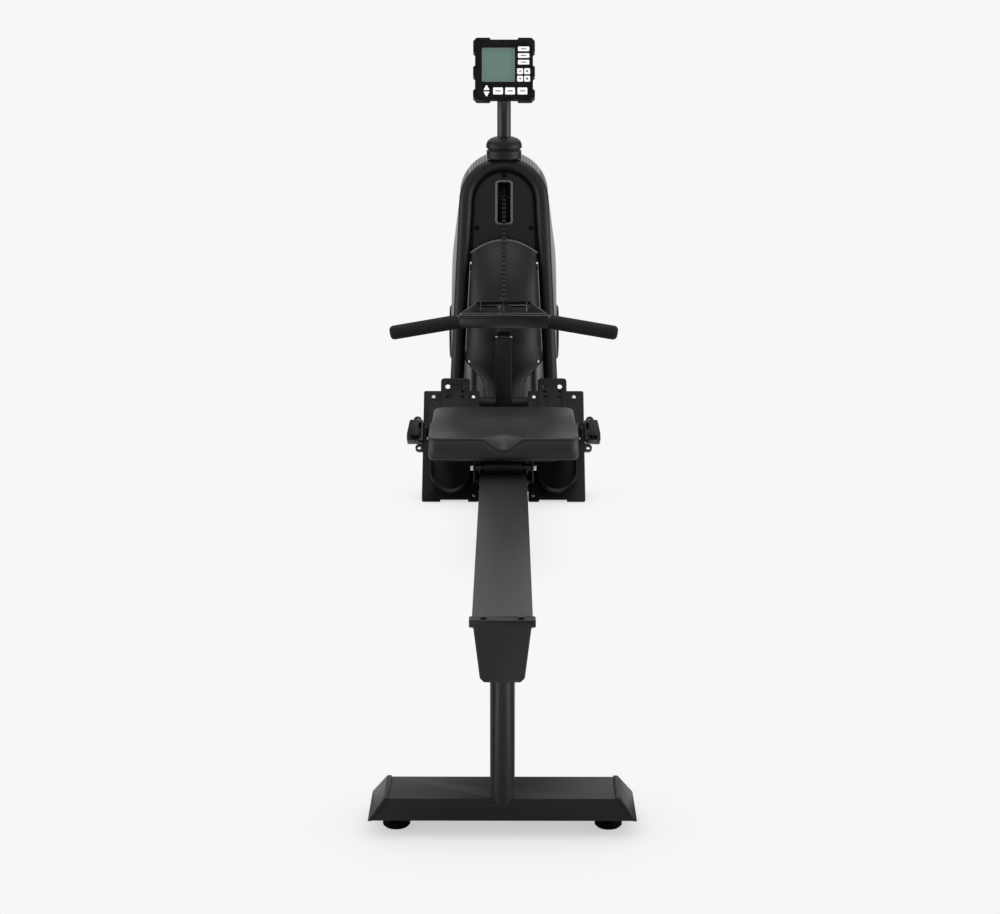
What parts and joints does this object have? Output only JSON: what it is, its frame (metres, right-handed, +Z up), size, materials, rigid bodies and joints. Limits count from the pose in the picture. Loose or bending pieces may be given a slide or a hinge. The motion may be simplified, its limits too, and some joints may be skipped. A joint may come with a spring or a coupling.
{
  "type": "air rowing machine",
  "caption": "Rowing machine with a sliding seat on a monorail, a fan in a rounded perforated housing, a chain-pulled handle, foot rests and a display on a mast.",
  "frame": {"origin": "on the floor under the middle of the machine (bottom centre of its box)", "axes": "+Y along the rail towards the fan, +X to the right of someone looking at the fan, +Z up"},
  "size_m": [0.5154, 2.4655, 1.2993],
  "materials": {
    "black_paint": "satin powder coat",
    "black_plastic": "fine textured moulding",
    "soft_black": "matt soft rubber",
    "seat_grey": "smooth skinned foam",
    "bright_steel": "zinc plated",
    "guard_steel": "grey powder coat",
    "key_white": "silicone keys",
    "screen_glass": "display window",
    "webbing": "woven nylon webbing",
    "nylon": "moulded nylon"
  },
  "bodies": {
    "frame": {"rail": "black_paint", "rail_end_cap": "black_plastic", "seat_stop": "soft_black", "bolts_and_screws": "bright_steel", "rear_foot": "black_paint", "front_foot": "black_paint", "foot_bar_caps": "black_plastic", "levelling_feet": "soft_black", "main_frame": "black_paint", "handle_post": "black_paint", "handle_cradle": "black_plastic", "foot_frame": "black_paint", "foot_plates": "black_paint", "foot_straps": "webbing", "strap_buckles": "black_plastic", "arch_tube": "black_paint", "collar": "black_plastic", "mast": "black_paint", "upper_shroud": "black_plastic", "slot_bezel": "black_plastic", "lower_shroud": "black_plastic", "side_shell_left": "black_plastic", "side_shell_right": "black_plastic", "inlet_grilles": "black_paint", "hub_covers": "black_plastic", "fan_guard": "guard_steel", "fan_axle": "bright_steel", "drive_chain": "bright_steel"},
    "seat": {"seat_pad": "seat_grey", "seat_carriage": "black_paint", "roller_axles": "bright_steel"},
    "rear_roller": {"rear_roller": "nylon"},
    "front_roller": {"front_roller": "nylon"},
    "left_wheel": {"transport_wheel_left": "soft_black"},
    "right_wheel": {"transport_wheel_right": "soft_black"},
    "left_lever": {"buckle_lever_left": "nylon"},
    "right_lever": {"buckle_lever_right": "nylon"},
    "left_heel": {"heel_cup_left": "nylon"},
    "right_heel": {"heel_cup_right": "nylon"},
    "fan": {"flywheel": "black_paint"},
    "sprocket": {"drive_sprocket": "bright_steel"},
    "idler": {"idler_pulley": "nylon"},
    "handle": {"handle_body": "black_plastic", "handle_grips": "soft_black", "chain_clevis": "bright_steel"},
    "console": {"console_case": "black_plastic", "console_bezel": "black_plastic", "console_screen": "screen_glass"},
    "key_wide_1": {"key_wide_1": "key_white"},
    "key_wide_2": {"key_wide_2": "key_white"},
    "key_wide_3": {"key_wide_3": "key_white"},
    "key_small_1": {"key_small_1": "key_white"},
    "key_small_2": {"key_small_2": "key_white"},
    "key_small_3": {"key_small_3": "key_white"},
    "key_small_4": {"key_small_4": "key_white"},
    "key_base_1": {"key_base_1": "key_white"},
    "key_base_2": {"key_base_2": "key_white"},
    "key_base_3": {"key_base_3": "key_white"},
    "key_up": {"key_up": "key_white"},
    "key_down": {"key_down": "key_white"}
  },
  "joints": [
    {"name": "seat_slide", "type": "slide", "parent": "frame", "child": "seat", "axis": [0, -1, 0], "range_m": [0, 0.9]},
    {"name": "rear_roller_spin", "type": "hinge", "parent": "seat", "child": "rear_roller", "pos_m": [0, -0.23675, 0.4148], "axis": [1, 0, 0], "continuous": true},
    {"name": "front_roller_spin", "type": "hinge", "parent": "seat", "child": "front_roller", "pos_m": [0, -0.05675, 0.4148], "axis": [1, 0, 0], "continuous": true},
    {"name": "handle_pull", "type": "slide", "parent": "frame", "child": "handle", "axis": [0, -0.9903, 0.1392], "range_m": [0, 1.05], "stiffness_N_per_m": 12, "springref_m": -0.6, "deforming": ["drive_chain"]},
    {"name": "fan_spin", "type": "hinge", "parent": "frame", "child": "fan", "pos_m": [0, 0.65725, 0.555], "axis": [1, 0, 0], "continuous": true},
    {"name": "sprocket_spin", "type": "hinge", "parent": "frame", "child": "sprocket", "pos_m": [0, 0.65725, 0.555], "axis": [1, 0, 0], "range_deg": [-20, 2030]},
    {"name": "idler_spin", "type": "hinge", "parent": "frame", "child": "idler", "pos_m": [0, 0.40725, 0.95], "axis": [1, 0, 0], "range_deg": [-20, 2209]},
    {"name": "left_wheel_spin", "type": "hinge", "parent": "frame", "child": "left_wheel", "pos_m": [-0.12, 1.20175, 0.035], "axis": [1, 0, 0], "continuous": true},
    {"name": "right_wheel_spin", "type": "hinge", "parent": "frame", "child": "right_wheel", "pos_m": [0.12, 1.20175, 0.035], "axis": [1, 0, 0], "continuous": true},
    {"name": "left_lever_turn", "type": "hinge", "parent": "frame", "child": "left_lever", "pos_m": [-0.2, 0.01672, 0.43621], "axis": [0, 0.6198, 0.7848], "range_deg": [-40, 0]},
    {"name": "right_lever_turn", "type": "hinge", "parent": "frame", "child": "right_lever", "pos_m": [0.2, 0.01672, 0.43621], "axis": [0, 0.6198, 0.7848], "range_deg": [0, 40]},
    {"name": "left_heel_slide", "type": "slide", "parent": "frame", "child": "left_heel", "axis": [0, 0.6198, 0.7848], "range_m": [-0.035, 0.03]},
    {"name": "right_heel_slide", "type": "slide", "parent": "frame", "child": "right_heel", "axis": [0, 0.6198, 0.7848], "range_m": [-0.035, 0.03]},
    {"name": "console_tilt", "type": "hinge", "parent": "frame", "child": "console", "pos_m": [0, 0.31893, 1.21566], "axis": [1, 0, 0], "range_deg": [-20, 20]},
    {"name": "key_wide_1_press", "type": "slide", "parent": "console", "child": "key_wide_1", "axis": [0, 0.9397, -0.342], "range_m": [0, 0.001], "stiffness_N_per_m": 150, "springref_m": -0.0005},
    {"name": "key_wide_2_press", "type": "slide", "parent": "console", "child": "key_wide_2", "axis": [0, 0.9397, -0.342], "range_m": [0, 0.001], "stiffness_N_per_m": 150, "springref_m": -0.0005},
    {"name": "key_wide_3_press", "type": "slide", "parent": "console", "child": "key_wide_3", "axis": [0, 0.9397, -0.342], "range_m": [0, 0.001], "stiffness_N_per_m": 150, "springref_m": -0.0005},
    {"name": "key_small_1_press", "type": "slide", "parent": "console", "child": "key_small_1", "axis": [0, 0.9397, -0.342], "range_m": [0, 0.001], "stiffness_N_per_m": 150, "springref_m": -0.0005},
    {"name": "key_small_2_press", "type": "slide", "parent": "console", "child": "key_small_2", "axis": [0, 0.9397, -0.342], "range_m": [0, 0.001], "stiffness_N_per_m": 150, "springref_m": -0.0005},
    {"name": "key_small_3_press", "type": "slide", "parent": "console", "child": "key_small_3", "axis": [0, 0.9397, -0.342], "range_m": [0, 0.001], "stiffness_N_per_m": 150, "springref_m": -0.0005},
    {"name": "key_small_4_press", "type": "slide", "parent": "console", "child": "key_small_4", "axis": [0, 0.9397, -0.342], "range_m": [0, 0.001], "stiffness_N_per_m": 150, "springref_m": -0.0005},
    {"name": "key_base_1_press", "type": "slide", "parent": "console", "child": "key_base_1", "axis": [0, 0.9397, -0.342], "range_m": [0, 0.001], "stiffness_N_per_m": 150, "springref_m": -0.0005},
    {"name": "key_base_2_press", "type": "slide", "parent": "console", "child": "key_base_2", "axis": [0, 0.9397, -0.342], "range_m": [0, 0.001], "stiffness_N_per_m": 150, "springref_m": -0.0005},
    {"name": "key_base_3_press", "type": "slide", "parent": "console", "child": "key_base_3", "axis": [0, 0.9397, -0.342], "range_m": [0, 0.001], "stiffness_N_per_m": 150, "springref_m": -0.0005},
    {"name": "key_up_press", "type": "slide", "parent": "console", "child": "key_up", "axis": [0, 0.9397, -0.342], "range_m": [0, 0.001], "stiffness_N_per_m": 150, "springref_m": -0.0005},
    {"name": "key_down_press", "type": "slide", "parent": "console", "child": "key_down", "axis": [0, 0.9397, -0.342], "range_m": [0, 0.001], "stiffness_N_per_m": 150, "springref_m": -0.0005}
  ],
  "couplings": [
    {"joint": "rear_roller_spin", "follows": "seat_slide", "rad_per_m": 62.5},
    {"joint": "front_roller_spin", "follows": "seat_slide", "rad_per_m": 62.5},
    {"joint": "sprocket_spin", "follows": "handle_pull", "rad_per_m": 32.742},
    {"joint": "idler_spin", "follows": "handle_pull", "rad_per_m": 35.714}
  ]
}
